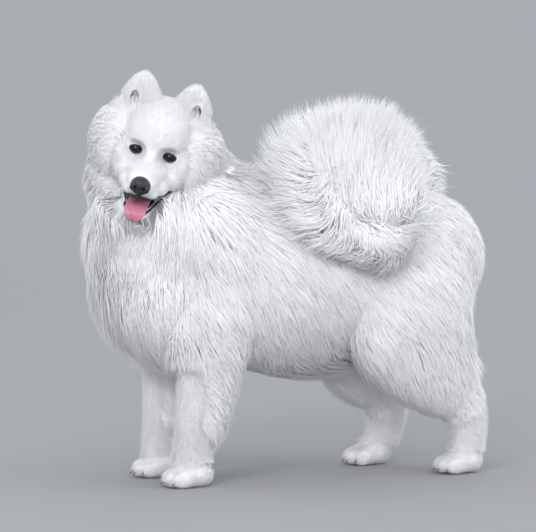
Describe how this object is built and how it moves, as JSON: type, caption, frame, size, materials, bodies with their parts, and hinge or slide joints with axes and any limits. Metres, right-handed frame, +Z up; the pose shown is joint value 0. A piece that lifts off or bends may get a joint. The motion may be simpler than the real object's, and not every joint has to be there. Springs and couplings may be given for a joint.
{
  "type": "samoyed dog model",
  "caption": "Life-size still model of a standing samoyed, head turned to its left, mouth open, long white coat and tail plume curled over the back.",
  "frame": {"origin": "on the floor under the middle of the box of the whole dog", "axes": "+Z up, -Y where the body faces, +X the dog's left side"},
  "size_m": [0.4398, 0.8851, 0.8288],
  "materials": {
    "coat": "soft long white fur",
    "nose_leather": "moist black nose leather",
    "eye": "wet dark eye",
    "tongue": "moist pink tongue"
  },
  "bodies": {
    "root": {"head": "coat", "lower_jaw": "coat", "neck": "coat", "torso": "coat", "tail": "coat", "ear_left": "coat", "ear_right": "coat", "foreleg_left": "coat", "foreleg_right": "coat", "thigh_left": "coat", "thigh_right": "coat", "hindfoot_left": "coat", "hindfoot_right": "coat", "nose": "nose_leather", "eye_left": "eye", "eye_right": "eye", "tongue": "tongue"}
  },
  "joints": []
}
